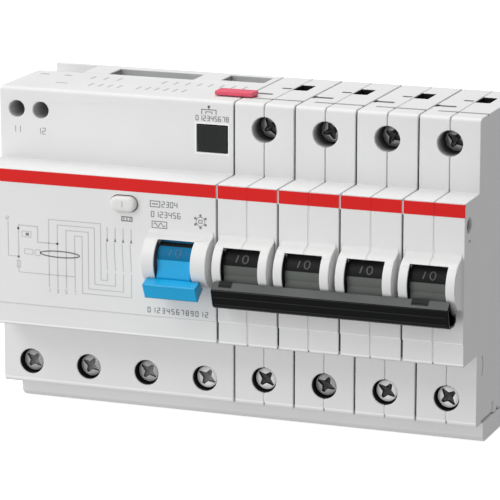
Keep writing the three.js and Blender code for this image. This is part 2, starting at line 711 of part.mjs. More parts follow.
// The flush window, with a shoulder behind the face.
const indicatorWindow = () => block(
  [INDICATOR.x[0] + GAP, INDICATOR.x[1] - GAP],
  [FACE, FACE + WALL],
  [INDICATOR.z[0] + GAP, INDICATOR.z[1] - GAP],
)

function auxScrew() {
  return cutBy(
    rod('y', 1.9, [0, AUX_HEAD_LENGTH], [0, 0], 16).add(rod('y', AUX_SHANK, [1, 7], [0, 0], 12)),
    [block([-2, 2], [-1, 0.7], [-0.3, 0.3])],
  )
}

// ---------------------------------------------------------------- inside the residual current block

const CORE = { x: -35, y: -32.75, inner: 5.6, outer: 9.8, z: [10, 20] }

function summationCore() {
  const ring = rod('z', CORE.outer, CORE.z, [CORE.x, CORE.y], 28)
  return ring.subtract(rod('z', CORE.inner, [CORE.z[0] - 1, CORE.z[1] + 1], [CORE.x, CORE.y], 20))
}

const STRIP = { width: 3, thick: 1.2, pitch: 2.3, first: -29.3 }
const STRIP_Z = [-45, -43]         // clear of the tray's slanted face, and of the shells above
const FAN_Z = 26                 // height where the conductors spread out above the core
const JOG_Z = -26                // height where the inner ones step over to their terminals
const stripY = (index) => STRIP.first - STRIP.pitch * index

const conductorSlot = (height) => block(
  [CORE.x - STRIP.width / 2 - 1, CORE.x + STRIP.width / 2 + 1],
  [stripY(POLES - 1) - 1, stripY(0) + 1],
  height,
)

// A flat bar that runs through a chain of points, each stretch parallel to an axis.
function busbar(points, [halfX, halfY, halfZ]) {
  const stretches = points.slice(1).map((end, index) => {
    const start = points[index]
    return block(
      [Math.min(start[0], end[0]) - halfX, Math.max(start[0], end[0]) + halfX],
      [Math.min(start[1], end[1]) - halfY, Math.max(start[1], end[1]) + halfY],
      [Math.min(start[2], end[2]) - halfZ, Math.max(start[2], end[2]) + halfZ],
    )
  })
  return joined(stretches)
}

// From each lower pole terminal along the tray, up through the core, and out to the block's own terminal.
function primaryConductors() {
  const terminalOf = [1, 0, 2, 3]      // which terminal each conductor reaches
  const descentOf = [-13, -26.25, 13, 26.25]   // where it comes down, measured from the core
  const trayZ = (STRIP_Z[0] + STRIP_Z[1]) / 2
  const halfHeight = (STRIP_Z[1] - STRIP_Z[0]) / 2
  const barY = (RCD_TERMINAL.bar[0] + RCD_TERMINAL.bar[1]) / 2
  const pinY = POLE_TERMINAL.bar[1] + GAP + 1
  const conductors = poleNumbers.map((index) => {
    const y = stripY(index)
    const target = rcdCentre(terminalOf[index])
    const descent = CORE.x + descentOf[index]
    const poleX = poleCentre(index)
    const strip = busbar([[CORE.x, y, trayZ], [poleX, y, trayZ]], [1.5, 0.6, halfHeight])
    const foot = busbar([[poleX, y, trayZ], [poleX, pinY, trayZ]], [1.5, 0.6, halfHeight])
    const pin = busbar([[poleX, pinY, trayZ], [poleX, pinY, -33]], [1.5, 1, 0.6])
    const riser = busbar([[CORE.x, y, trayZ], [CORE.x, y, FAN_Z]], [1.5, 0.6, 1])
    const spread = busbar([[CORE.x, y, FAN_Z], [descent, y, FAN_Z], [descent, barY, FAN_Z]], [1.5, 0.6, 1.5])
    const descentBar = busbar(
      [[descent, barY, FAN_Z], [descent, barY, JOG_Z], [target, barY, JOG_Z]], [1.5, 0.75, 1.5],
    )
    const tongue = block([target - 3.6, target + 3.6], RCD_TERMINAL.bar, [RCD_LOAD_Z - 3.5, JOG_Z])
    return joined([strip, foot, pin, riser, spread, descentBar, tongue])
  })
  const spacer = block([-21, -17], [stripY(POLES - 1) - 0.6, stripY(0) + 0.6], STRIP_Z)
  return joined([...conductors, spacer])
}

// The relay that the core's winding fires, with its plunger under the trip shaft's lever.
function tripRelay() {
  return joined([
    block([-19.5, -11.5], [-44, -33], [-8, 9]),
    rod('z', 1, [8, 12.6], [-14, -46 + 3.5], 12),
  ])
}

const RELAY_LEVER_X = -14

// The shaft that turns in all four poles when the relay fires, with a lever in each and one at the relay.
function tripShaft() {
  const levers = [RELAY_LEVER_X, ...poleNumbers.map(poleCentre)].map(
    (x) => block([x - 1, x + 1], [-0.8, 11.5], [-1.2, 0.4]),
  )
  return joined([rod('x', 1.4, [-16, POLES * MODULE - 1.2], [0, 0], 16), ...levers])
}

// ---------------------------------------------------------------- assembly

function residualCurrentBlock() {
  const group = new THREE.Group()
  group.add(
    piece('rcd_front_cover', rcdCover(), 'housing'),
    piece('rcd_rear_base', rcdBase(), 'housing'),
    placed(piece('rcd_toggle', rcdToggle(), 'blue'), RCD_TOGGLE_X, PIVOT.y, PIVOT.z),
    placed(piece('test_button', testButton(), 'button'), BUTTON.x, 0, BUTTON.z),
    placed(piece('test_spring', testSpring(), 'steel'), BUTTON.x, 0, BUTTON.z),
    piece('indicator_window', indicatorWindow(), 'window'),
    piece('summation_core', summationCore(), 'core'),
    piece('primary_conductors', primaryConductors(), 'copper'),
    piece('trip_relay', tripRelay(), 'relay'),
    placed(piece('rcd_rail_clip', railClip(), 'railClip'), RCD_CLIP_X, 0, 0),
    ...AUX_X.map((x, index) => {
      const screw = piece(`aux_screw_${index + 1}`, auxScrew(), 'zinc')
      return placed(screw, x, AUX_HEAD, AUX_Z)
    }),
    ...poleNumbers.flatMap((index) => terminal({
      screwName: `rcd_screw_${index + 1}`, cageName: `rcd_cage_${index + 1}`,
      x: rcdCentre(index), z: RCD_LOAD_Z, head: LOAD_HEAD, layout: RCD_TERMINAL, turn: RCD_TURNS[index],
    })),
  )
  return group
}

const group = new THREE.Group()
group.add(
  residualCurrentBlock(),
  ...poleNumbers.map(pole),
  placed(piece('toggle_tie_bar', tieBar(), 'barBlack'), 0, PIVOT.y, PIVOT.z),
  placed(piece('trip_shaft', tripShaft(), 'steel'), 0, TRIP_AXIS.y, TRIP_AXIS.z),
  placed(piece('mcb_rail_clip', railClip(), 'railClip'), POLE_CLIP_X, 0, 0),
  piece('coupling_clip', couplingClip(), 'clipRed'),
)

export default group
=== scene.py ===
"""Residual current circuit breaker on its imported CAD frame: finishes, printed marks, light and camera."""

import json
import math

import bmesh
import bpy
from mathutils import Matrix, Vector


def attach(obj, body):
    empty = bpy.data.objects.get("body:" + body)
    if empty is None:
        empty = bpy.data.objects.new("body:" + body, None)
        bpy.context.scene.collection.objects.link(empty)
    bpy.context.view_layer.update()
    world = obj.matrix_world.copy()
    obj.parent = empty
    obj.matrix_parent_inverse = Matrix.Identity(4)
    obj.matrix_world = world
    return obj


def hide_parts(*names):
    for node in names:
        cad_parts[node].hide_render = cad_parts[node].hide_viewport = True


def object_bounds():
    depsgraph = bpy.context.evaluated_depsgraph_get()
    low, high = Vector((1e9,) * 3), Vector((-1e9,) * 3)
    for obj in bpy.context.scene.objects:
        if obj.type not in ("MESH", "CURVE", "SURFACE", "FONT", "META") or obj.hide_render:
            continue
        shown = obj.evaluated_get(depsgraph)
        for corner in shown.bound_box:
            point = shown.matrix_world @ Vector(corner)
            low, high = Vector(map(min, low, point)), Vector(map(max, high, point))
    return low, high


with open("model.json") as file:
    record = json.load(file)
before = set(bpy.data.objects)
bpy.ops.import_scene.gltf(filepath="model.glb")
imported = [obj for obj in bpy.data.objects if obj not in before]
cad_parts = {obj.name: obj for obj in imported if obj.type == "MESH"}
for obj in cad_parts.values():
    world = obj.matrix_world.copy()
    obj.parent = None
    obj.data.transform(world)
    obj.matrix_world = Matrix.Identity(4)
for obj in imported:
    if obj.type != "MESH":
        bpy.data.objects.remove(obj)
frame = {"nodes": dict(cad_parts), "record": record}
nodes = frame["nodes"]
cad_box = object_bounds()
scene = bpy.context.scene

# Sizes in millimetres, in the row frame: X along the rail, -Y to the front, +Z up.
MM = 0.001
MODULE = 17.5
POLES = range(4)
FACE = -44.5                # front of the terminal faces
NOSE = -57.7                # front of the raised nose
NOSE_STEP = 0.45            # the lowest part of the nose steps back this far
NOSE_STEP_Z = -16.0         # and does so at this height
NOSE_END = 22.0             # the nose reaches this far above and below the rail's centre
TOP = 42.5
FACE_START = 22.6           # seams of the terminal faces run from here, above and below the rail's centre
FACE_END = TOP - 1.3        # to here
SIDE_GAP = 0.25             # clearance from a module's own boundary
SEAM_HALF = 0.14            # half the width of the lip that shows in the seam of a pole
RIGHT_SIDE = 4 * MODULE - SIDE_GAP
LEFT_SIDE = -RIGHT_SIDE
STRIPE_LOW, STRIPE_TOP = 18.4, 21.6

# Toggles and their windows. Angles are in degrees round the axle, from its foremost line upward.
PIVOT_Y, PIVOT_Z = -57.2, 0.4
DRUM = 5.5
DRUM_WIDTH = 9.8
BAND_THICK = 0.06
RCD_TOGGLE_X = -10.6
WINDOW_HALF = 5.25
WINDOW_TOP = 5.8            # height of the upper edge of a breaker toggle's window
CHEEK_ANGLE, RCD_CHEEK_ANGLE = 49.5, 59.5

# Terminals: holes, screws and the bores behind the holes.
SCREW_HOLE = 3.6
SCREW_HEAD = 3.15
SHANK = 2.0
LINE_Z, LOAD_Z, RCD_LOAD_Z = 35.25, -34.9, -36.1
LINE_HEAD, LOAD_HEAD = -39.0, -42.6
POLE_SHANK_END, RCD_SHANK_END = -23.3, -30.3
LINE_BORE_END, LOAD_BORE_END, RCD_BORE_END = -36.6, -39.0, -40.3
AUX_X = (-64.65, -57.4)
AUX_Z = 36.3
AUX_BORE_RADIUS = 2.39
AUX_HEAD = -36.0

# The test button: its centre, half its width, half its height and its foremost plane.
BUTTON_X, BUTTON_Z = -26.95, 14.95
BUTTON_HALF, BUTTON_RISE = 3.76, 2.11
BUTTON_FRONT = NOSE - 1.7


def pole_x(index):
    return MODULE * (index + 0.5)


def rcd_x(index):
    return MODULE * (index - 3.5)


# ------------------------------------------------------------------ materials

def new_material(name):
    """A fresh node material with its Principled shader and a texture coordinate node in metres."""
    material = bpy.data.materials.new(name)
    material.use_nodes = True
    tree = material.node_tree
    shader = tree.nodes["Principled BSDF"]
    place = tree.nodes.new("ShaderNodeTexCoord")
    return material, tree, shader, place.outputs["Object"]


def noise(tree, place, scale, detail=2.0, roughness=0.5, stretch=None):
    """Value noise at a scale in cells per metre, optionally stretched along the axes."""
    node = tree.nodes.new("ShaderNodeTexNoise")
    node.inputs["Scale"].default_value = scale
    node.inputs["Detail"].default_value = detail
    node.inputs["Roughness"].default_value = roughness
    if stretch:
        mapping = tree.nodes.new("ShaderNodeMapping")
        mapping.inputs["Scale"].default_value = stretch
        tree.links.new(place, mapping.inputs["Vector"])
        place = mapping.outputs["Vector"]
    tree.links.new(place, node.inputs["Vector"])
    return node.outputs["Fac"]


def ramp(tree, value, low, high, at=(0.3, 0.7)):
    """Maps a 0..1 value onto a colour or grey between two stops."""
    node = tree.nodes.new("ShaderNodeValToRGB")
    for stop, position, colour in zip(node.color_ramp.elements, at, (low, high)):
        stop.position = position
        stop.color = (*colour, 1) if len(colour) == 3 else (*colour * 3, 1)
    tree.links.new(value, node.inputs["Fac"])
    return node.outputs["Color"]


def bump(tree, shader, height, distance, strength=1.0):
    node = tree.nodes.new("ShaderNodeBump")
    node.inputs["Strength"].default_value = strength
    node.inputs["Distance"].default_value = distance
    tree.links.new(height, node.inputs["Height"])
    tree.links.new(node.outputs["Normal"], shader.inputs["Normal"])


def plastic(name, colour, rough, tint, grain=0.012, specular=0.5):
    """Moulded plastic: a cloudy tone, a roughness that wanders and a fine eroded grain (height in mm)."""
    material, tree, shader, place = new_material(name)
    dark = tuple(c * (1 - tint) for c in colour)
    pale = tuple(min(1.0, c * (1 + tint)) for c in colour)
    tree.links.new(ramp(tree, noise(tree, place, 45.0, 3.0), dark, pale), shader.inputs["Base Color"])
    sheen = noise(tree, place, 160.0, 4.0)
    tree.links.new(ramp(tree, sheen, (rough - 0.05,), (rough + 0.05,)), shader.inputs["Roughness"])
    bump(tree, shader, noise(tree, place, 5200.0, 2.0), grain * MM)
    shader.inputs["Specular IOR Level"].default_value = specular
    return material


def metal(name, colour, rough, brushing=(1, 1, 1), metallic=1.0):
    """Plated or bare metal with fine tool marks."""
    material, tree, shader, place = new_material(name)
    shader.inputs["Metallic"].default_value = metallic
    dark = tuple(c * 0.8 for c in colour)
    tree.links.new(ramp(tree, noise(tree, place, 220.0, 4.0), dark, colour), shader.inputs["Base Color"])
    marks = noise(tree, place, 900.0, 3.0, 0.6, brushing)
    tree.links.new(ramp(tree, marks, (rough - 0.08,), (rough + 0.12,)), shader.inputs["Roughness"])
    bump(tree, shader, marks, 0.01 * MM, 0.6)
    return material


def shaded_bore(name, front, back, deep):
    """The wall of a bore, pale at its mouth and dark where the light no longer reaches, in painted shade
    that deepens inward (depths in mm).
    """
    material, tree, shader, place = new_material(name)
    mouth = 0.6
    split = tree.nodes.new("ShaderNodeSeparateXYZ")
    tree.links.new(place, split.inputs["Vector"])
    depth = tree.nodes.new("ShaderNodeMapRange")
    depth.inputs["From Min"].default_value = front * MM
    depth.inputs["From Max"].default_value = back * MM
    tree.links.new(split.outputs["Y"], depth.inputs["Value"])
    shade = ramp(tree, depth.outputs["Result"], (mouth,), (deep,), (0.0, 0.8))
    tree.links.new(shade, shader.inputs["Base Color"])
    tree.links.new(ramp(tree, noise(tree, place, 600.0), (0.45,), (0.6,)), shader.inputs["Roughness"])
    return material


FINISH = {
    "housing": plastic("housing_plastic", (0.76, 0.765, 0.76), 0.5, tint=0.015),
    "toggle_black": plastic("toggle_plastic", (0.095, 0.104, 0.096), 0.4, tint=0.15),
    "bar_black": plastic("bar_plastic", (0.003, 0.0034, 0.0032), 0.2, tint=0.2, grain=0.002, specular=0.2),
    "handle_blue": plastic("blue_plastic", (0.004, 0.385, 0.73), 0.35, tint=0.04, grain=0.006),
    "button_white": plastic("button_plastic", (0.76, 0.765, 0.745), 0.4, tint=0.03),
    "window_black": plastic("window_plastic", (0.012, 0.0145, 0.0135), 0.25, tint=0.2, grain=0.002),
    "clip_red": plastic("clip_plastic", (0.76, 0.085, 0.15), 0.45, tint=0.08),
    "rail_clip_grey": plastic("rail_clip_plastic", (0.05, 0.053, 0.056), 0.5, tint=0.15),
    "screw_zinc": metal("screw_zinc", (0.66, 0.67, 0.66), 0.3),
    "plated_steel": metal("plated_steel", (0.55, 0.55, 0.54), 0.38, (1, 1, 8)),
    "copper": metal("copper", (0.78, 0.42, 0.27), 0.3),
    "core": plastic("core_lacquer", (0.10, 0.075, 0.06), 0.45, tint=0.25),
    "relay_case": plastic("relay_plastic", (0.02, 0.028, 0.034), 0.4, tint=0.2),
}
INK_RED = plastic("ink_red", (0.68, 0.008, 0.007), 0.42, tint=0.03, grain=0.003, specular=0.3)
# dark ink for print, and painted shade on the left walls of the pockets in the top
DARK_INK_AND_PAINTED_SHADE = plastic("dark_ink_and_painted_shade", (0.2, 0.205, 0.2), 0.5, tint=0.1, grain=0.003)
INK_GREY = plastic("ink_grey", (0.54, 0.545, 0.54), 0.5, tint=0.06, grain=0.003)
# pale ink for the window's outline, and painted highlight along lit edges
PALE_INK_AND_PAINTED_HIGHLIGHT = plastic("pale_ink_and_painted_highlight", (0.9, 0.9, 0.9), 0.45, tint=0.02, grain=0.003)
SHADOW = plastic("shadow_plastic", (0.012, 0.013, 0.0125), 0.55, tint=0.2, specular=0.2)
# raised marks on the black drums, darker than the toggle plastic: painted shade
RELIEF_BLACK_PAINTED_SHADE = plastic("relief_black_painted_shade", (0.05, 0.053, 0.05), 0.4, tint=0.1)
# ridges on the tie bar, lighter than the bar: painted highlight
RIDGE_PAINTED_HIGHLIGHT = plastic("bar_ridge_painted_highlight", (0.016, 0.018, 0.017), 0.3, tint=0.1, grain=0.003, specular=0.3)
# raised marks on the blue drum, darker than the blue plastic: painted shade
RELIEF_BLUE_PAINTED_SHADE = plastic("relief_blue_painted_shade", (0.004, 0.12, 0.27), 0.4, tint=0.08)
# bore walls in painted shade, dark in their depth
BORE = shaded_bore("bore_wall", FACE + 0.6, FACE + 5.0, 0.1)
AUX_BORE = shaded_bore("aux_bore_wall", FACE + 0.6, AUX_HEAD, 0.5)
# darker copies of the toggle plastics on the drums' upper parts: painted shade
DRUM_PAINTED_SHADE_BLACK = plastic("drum_painted_shade_black", (0.008, 0.0085, 0.008), 0.5, tint=0.2, specular=0.15)
DRUM_PAINTED_SHADE_BLUE = plastic("drum_painted_shade_blue", (0.002, 0.15, 0.31), 0.45, tint=0.08, specular=0.12)
# flat dark marks where the top has vents: painted shade
VENT_PAINTED_SHADE = plastic("vent_painted_shade", (0.42, 0.425, 0.42), 0.5, tint=0.06, grain=0.003)
# sheets on the rear walls of the pockets in the top: painted shade
WALL_PAINTED_SHADE = plastic("wall_painted_shade", (0.45, 0.46, 0.455), 0.5, tint=0.1)
# grey ink for the auxiliary labels, and painted shade over slots in the top of the poles
GREY_INK_AND_PAINTED_SHADE = plastic("grey_ink_and_painted_shade", (0.26, 0.265, 0.26), 0.5, tint=0.1, grain=0.003)
# painted shade over slots in the top of the poles and in a window's cheek
DARK_PAINTED_SHADE = plastic("dark_painted_shade", (0.07, 0.072, 0.07), 0.5, tint=0.1, grain=0.003)
# the top of the tie bar, lighter than the bar: painted sheen, with a coarser grain
BAR_TOP_GRAIN_AND_PAINTED_SHEEN = plastic("bar_top_grain_and_painted_sheen", (0.1, 0.107, 0.104), 0.6, tint=0.25, grain=0.05, specular=0.3)
# screw recesses in darker copies of zinc, painted shade; screw heads in bright and darker copies, painted
# highlight and painted shade
RECESS_PAINTED_SHADE = metal("screw_recess_painted_shade", (0.17, 0.175, 0.17), 0.45)
RECESS_PAINTED_LIGHT_SHADE = metal("screw_recess_painted_light_shade", (0.34, 0.35, 0.34), 0.4, metallic=0.5)
ZINC_PAINTED_HIGHLIGHT = metal("zinc_painted_highlight", (0.97, 0.98, 0.97), 0.25, metallic=0.08)
ZINC_PAINTED_HALF_SHADE = metal("zinc_painted_half_shade", (0.52, 0.53, 0.52), 0.25, metallic=0.35)
ZINC_PAINTED_SHADE = metal("zinc_painted_shade", (0.55, 0.56, 0.55), 0.25, metallic=0.6)

SLOT_OF = {row["node"]: row["material_slot"] for row in frame["record"]["subparts"]}


# ------------------------------------------------------------------ the CAD nodes' own finish

SOFT_EDGED = ("toggle_tie_bar", "rcd_toggle", "coupling_clip")


def edge_width(node):
    """Radius of a node's rounded edges in mm: widest on the soft handles, least on small inner parts."""
    if node in SOFT_EDGED:
        return 0.3
    return 0.25 if SLOT_OF[node] == "housing" else 0.15


def dress(node):
    """Gives a CAD node its finish, merges its coplanar facets and rounds its edges."""
    shape = nodes[node]
    shape.data.materials.clear()
    shape.data.materials.append(FINISH[SLOT_OF[node]])
    for polygon in shape.data.polygons:
        polygon.use_smooth = True
    weld = shape.modifiers.new("weld", "WELD")
    weld.merge_threshold = 0.002 * MM
    flat = shape.modifiers.new("flat", "DECIMATE")
    flat.decimate_type = "DISSOLVE"
    flat.angle_limit = math.radians(0.6)
    fill = shape.modifiers.new("fill", "TRIANGULATE")
    fill.min_vertices = 5
    edge = shape.modifiers.new("edge", "BEVEL")
    edge.width = edge_width(node) * MM
    edge.segments = 3
    edge.limit_method = "ANGLE"
    edge.angle_limit = math.radians(28)
    edge.use_clamp_overlap = False
    edge.miter_outer = "MITER_ARC"
    normals = shape.modifiers.new("normals", "WEIGHTED_NORMAL")
    normals.keep_sharp = True
    normals.weight = 100


for node in nodes:
    dress(node)


# ------------------------------------------------------------------ building pieces

def build(name, corners, faces, finishes, body, finish_of_face=None):
    """A mesh piece from corners in millimetres, which rides a CAD body."""
    mesh = bpy.data.meshes.new(name)
    mesh.from_pydata([[c * MM for c in corner] for corner in corners], [], faces)
    for finish in finishes:
        mesh.materials.append(finish)
    if finish_of_face:
        mesh.polygons.foreach_set("material_index", finish_of_face)
    work = bmesh.new()
    work.from_mesh(mesh)
    bmesh.ops.recalc_face_normals(work, faces=work.faces)
    work.to_mesh(mesh)
    work.free()
    mesh.shade_smooth()
    mesh.set_sharp_from_angle(angle=math.radians(35))
    thing = bpy.data.objects.new(name, mesh)
    scene.collection.objects.link(thing)
    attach(thing, body)
    return thing


BOX_FACES = ((0, 1, 3, 2), (4, 6, 7, 5), (0, 4, 5, 1), (2, 3, 7, 6), (0, 2, 6, 4), (1, 5, 7, 3))


def blocks(name, spans, finish):
    """One fixed piece made of square blocks; each is its span along X, along Y and along Z."""
    corners = []
    faces = []
    for across, depth, height in spans:
        first = len(corners)
        corners += [(x, y, z) for x in across for y in depth for z in height]
        faces += [tuple(first + k for k in face) for face in BOX_FACES]
    build(name, corners, faces, [finish], "housing")


def on_front(plane):
    return lambda x, z, lift: (x, plane - lift, z)


def on_top(plane):
    return lambda x, y, lift: (x, y, plane + lift)


def on_right(plane):
    return lambda y, z, lift: (plane + lift, y, z)


def on_drum(centre, radius):
    """Across is X from the centre; up is measured round the drum from its foremost line."""
    def lay(x, up, lift):
        angle = up / radius
        reach = radius + lift
        return centre + x, PIVOT_Y - reach * math.cos(angle), PIVOT_Z + reach * math.sin(angle)
    return lay


def arc(x, y, across, up, start=0.0, end=360.0, steps=32):
    """Points along part of an ellipse, angles in degrees."""
    angles = [math.radians(start + (end - start) * k / steps) for k in range(steps + 1)]
    points = [(x + across * math.cos(a), y + up * math.sin(a)) for a in angles]
    if end - start == 360.0:
        points[-1] = points[0]
    return points


SEGMENT_LINES = {
    "a": ((0, 2), (1, 2)), "b": ((1, 2), (1, 1)), "c": ((1, 1), (1, 0)), "d": ((0, 0), (1, 0)),
    "e": ((0, 0), (0, 1)), "f": ((0, 1), (0, 2)), "g": ((0, 1), (1, 1)),
}
DIGITS = {
    "0": "abcdef", "1": "bc", "2": "abged", "3": "abgcd", "4": "fgbc",
    "5": "afgcd", "6": "afgecd", "7": "abc", "8": "abcdefg", "9": "abcdfg",
}


class Marks:
    """Thin raised marks, drawn flat and laid on a surface: lay(across, up, lift) gives a place in space."""

    def __init__(self, lay, thick=0.04):
        self.lay = lay
        self.levels = (-0.02, thick)
        self.corners = []
        self.faces = []

    def line(self, points, width):
        """A line with mitred corners; it closes when it ends where it starts."""
        closed = points[0] == points[-1]
        path = [Vector(p) for p in (points[:-1] if closed else points)]
        count = len(path)
        first = len(self.corners)
        low, high = self.levels
        for index, point in enumerate(path):
            joins = []
            if closed or index > 0:
                joins.append((point - path[index - 1]).normalized())
            if closed or index < count - 1:
                joins.append((path[(index + 1) % count] - point).normalized())
            normals = [Vector((-way.y, way.x)) for way in joins]
            middle = sum(normals, Vector((0, 0))).normalized()
            reach = middle * (width / 2 / max(0.4, middle.dot(normals[0])))
            left, right = point + reach, point - reach
            for side, level in ((left, low), (right, low), (right, high), (left, high)):
                self.corners.append(self.lay(side.x, side.y, level))
        for k in range(count if closed else count - 1):
            a, b = first + 4 * k, first + 4 * ((k + 1) % count)
            self.faces += [(a + i, a + (i + 1) % 4, b + (i + 1) % 4, b + i) for i in range(4)]
        if not closed:
            last = first + 4 * (count - 1)
            self.faces += [(first + 3, first + 2, first + 1, first), (last, last + 1, last + 2, last + 3)]

    def patch(self, shape):
        """A filled convex shape."""
        count = len(shape)
        first = len(self.corners)
        for level in self.levels:
            self.corners += [self.lay(x, y, level) for x, y in shape]
        self.faces.append(tuple(range(first + count, first + 2 * count)))
        self.faces.append(tuple(reversed(range(first, first + count))))
        for k in range(count):
            after = (k + 1) % count
            self.faces.append((first + k, first + after, first + count + after, first + count + k))

    def box(self, x0, x1, y0, y1):
        self.patch([(x0, y0), (x1, y0), (x1, y1), (x0, y1)])

    def dot(self, x, y, radius):
        self.patch(arc(x, y, radius, radius, steps=16)[:-1])

    def outline(self, x0, x1, y0, y1, width):
        self.line([(x0, y0), (x1, y0), (x1, y1), (x0, y1), (x0, y0)], width)

    def number(self, text, x, y, height, pen, pitch=0.85):
        """Digits of a plain display face; x is the left edge, and pitch is a share of the height."""
        wide = height * 0.5
        for place, digit in enumerate(text):
            left = x + place * height * pitch
            for segment in DIGITS[digit]:
                ends = [(left + u * wide, y + v * height / 2) for u, v in SEGMENT_LINES[segment]]
                self.line(ends, pen)

    def build(self, name, finish, body="housing", slot="housing"):
        build(name, self.corners, self.faces, [finish], body)


def ring_faces(rings, around):
    """Side faces of a body built from rings of corners, each ring with the same number around."""
    faces = []
    for ring in range(rings - 1):
        for k in range(around):
            a, b = ring * around + k, ring * around + (k + 1) % around
            faces.append((a, b, b + around, a + around))
    return faces


def turned(rings, centre, sides):
    """Corners and side faces of a body turned about the Y axis, open at both ends. A ring is (radius,
    depth), and its radius may be a function of the angle."""
    x, y, z = centre
    corners = []
    for radius, depth in rings:
        for k in range(sides):
            angle = 2 * math.pi * k / sides
            reach = radius(angle) if callable(radius) else radius
            corners.append((x + reach * math.cos(angle), y + depth, z + reach * math.sin(angle)))
    return corners, ring_faces(len(rings), sides)


# ------------------------------------------------------------------ screws and their bores

def cross_recess(turn):
    """Outline of a cross recess with tapering, blunt arms, as a radius for each angle. The flanks of an
    arm lead from root, beside the centre, to a point that lies beyond its blunt end."""
    root, point = 1.2, 3.4
    long_arm, short_arm = 2.75, 2.35

    def radius(angle):
        best = 0.0
        for way, reach in ((turn, long_arm), (turn + math.pi / 2, short_arm)):
            along = abs(math.cos(angle - way))
            aside = abs(math.sin(angle - way))
            flank = root / (aside + root * along / point)
            end = reach / max(along, 1e-6)
            best = max(best, min(flank, end))
        return best
    return radius


def clamp_screw(node, x, z, head, shank_end, turn, finish, hollow):
    """A clamp screw with a domed head and a deep cross recess, in place of the CAD node's plain one.
    Its recess, its rim and shank, and the face of its head have a finish each: the recess a darker copy of
    zinc as painted shade, the rim and shank a bright copy as painted highlight, and the face the finish
    given, which on some screws is a bright copy of zinc as painted highlight and on others a darker copy as
    painted shade."""
    sides = 96
    recess = cross_recess(math.radians(-turn))
    # A ring: its radius, and its depth below the top of the head.
    rings = [
        (0.05, 1.7),
        (lambda angle: 0.5 * recess(angle), 1.4),
        (lambda angle: 0.94 * recess(angle), 1.1),
        (recess, 0.03),
        (lambda angle: recess(angle) + 0.1, 0.0),
        (2.85, 0.05),
        (3.05, 0.16),
        (SCREW_HEAD, 0.4),
        (SCREW_HEAD, 2.2),
        (SHANK, 2.2),
        (SHANK, shank_end - head - 0.3),
        (SHANK - 0.4, shank_end - head),
        (0.05, shank_end - head),
    ]
    corners, faces = turned(rings, (x, head, z), sides)
    caps = [tuple(range(sides)), tuple(range(len(corners) - sides, len(corners)))]
    # the third finish is a bright copy of zinc, painted highlight on the rim and shank; the recess gets
    # painted shade
    face_finish, recess_finish, rim_finish = range(3)
    finish_of_ring = [recess_finish] * 3 + [rim_finish] + [face_finish] * 2 + [rim_finish] * 6
    finish_of_face = [finish_of_ring[face[0] // sides] for face in faces] + [recess_finish, face_finish]
    screw = build(f"{node}_look", corners, faces + caps, [finish, hollow, ZINC_PAINTED_HIGHLIGHT], node,
                  finish_of_face)
    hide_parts(node)


def sleeve(name, x, z, radius, front, back, finish):
    """The wall of a bore, as a thin tube just inside it, whose finish is painted shade."""
    sides = 64
    inner = radius - 0.08
    rings = [(radius, front), (inner, front), (inner, back), (radius, back), (radius, front)]
    corners, faces = turned(rings, (x, 0, z), sides)
    last = 4 * sides                # the fifth ring is the first one again
    faces = [tuple(corner % last for corner in face) for face in faces]
    build(name, corners[:last], faces, [finish], "housing")


# How far each screw's recess is turned clockwise, in degrees, seen from the front.
LINE_TURNS = (55, -20, 118, 32)
LOAD_TURNS = (40, 24, 33, 50)
RCD_TURNS = (38, 30, 36, 31)

# heads take bright and darker copies of zinc as painted highlight and painted shade, and bores get sleeves
# of painted shade
for index in POLES:
    pole = index + 1
    clamp_screw(f"pole_{pole}_line_screw", pole_x(index), LINE_Z, LINE_HEAD, POLE_SHANK_END,
                LINE_TURNS[index], ZINC_PAINTED_SHADE, RECESS_PAINTED_SHADE)
    clamp_screw(f"pole_{pole}_load_screw", pole_x(index), LOAD_Z, LOAD_HEAD, POLE_SHANK_END,
                LOAD_TURNS[index], ZINC_PAINTED_HALF_SHADE if pole == 2 else ZINC_PAINTED_HIGHLIGHT, RECESS_PAINTED_SHADE)
    clamp_screw(f"rcd_screw_{pole}", rcd_x(index), RCD_LOAD_Z, LOAD_HEAD, RCD_SHANK_END,
                RCD_TURNS[index], ZINC_PAINTED_HIGHLIGHT if pole == 4 else ZINC_PAINTED_HALF_SHADE, RECESS_PAINTED_LIGHT_SHADE)
    bore = SCREW_HOLE - 0.01
    sleeve(f"pole_{pole}_line_bore", pole_x(index), LINE_Z, bore, FACE + 0.5, LINE_BORE_END, BORE)
    sleeve(f"pole_{pole}_load_bore", pole_x(index), LOAD_Z, bore, FACE + 0.3, LOAD_BORE_END, SHADOW)
    sleeve(f"rcd_load_bore_{pole}", rcd_x(index), RCD_LOAD_Z, bore, FACE + 0.3, RCD_BORE_END, SHADOW)
for index, x in enumerate(AUX_X):
    sleeve(f"aux_bore_{index + 1}", x, AUX_Z, AUX_BORE_RADIUS, FACE + 0.5, AUX_HEAD - 0.1, AUX_BORE)


# ------------------------------------------------------------------ red stripes

def ribbon(name, left, right, outer, inner, finish):
    """A thin band from one X to another, between an outer and an inner line of (y, z) points."""
    count = len(outer)
    corners = [(x, y, z) for x in (left, right) for y, z in outer + inner]
    faces = []
    for k in range(count - 1):
        a, b = k, count + k
        c, d = 2 * count + k, 3 * count + k
        faces += [(a, a + 1, c + 1, c), (b + 1, b, d, d + 1), (a + 1, a, b, b + 1), (c, c + 1, d + 1, d)]
    last = count - 1
    faces += [(0, 2 * count, 3 * count, count)]
    faces += [(last, count + last, 3 * count + last, 2 * count + last)]
    build(name, corners, faces, [finish], "housing")


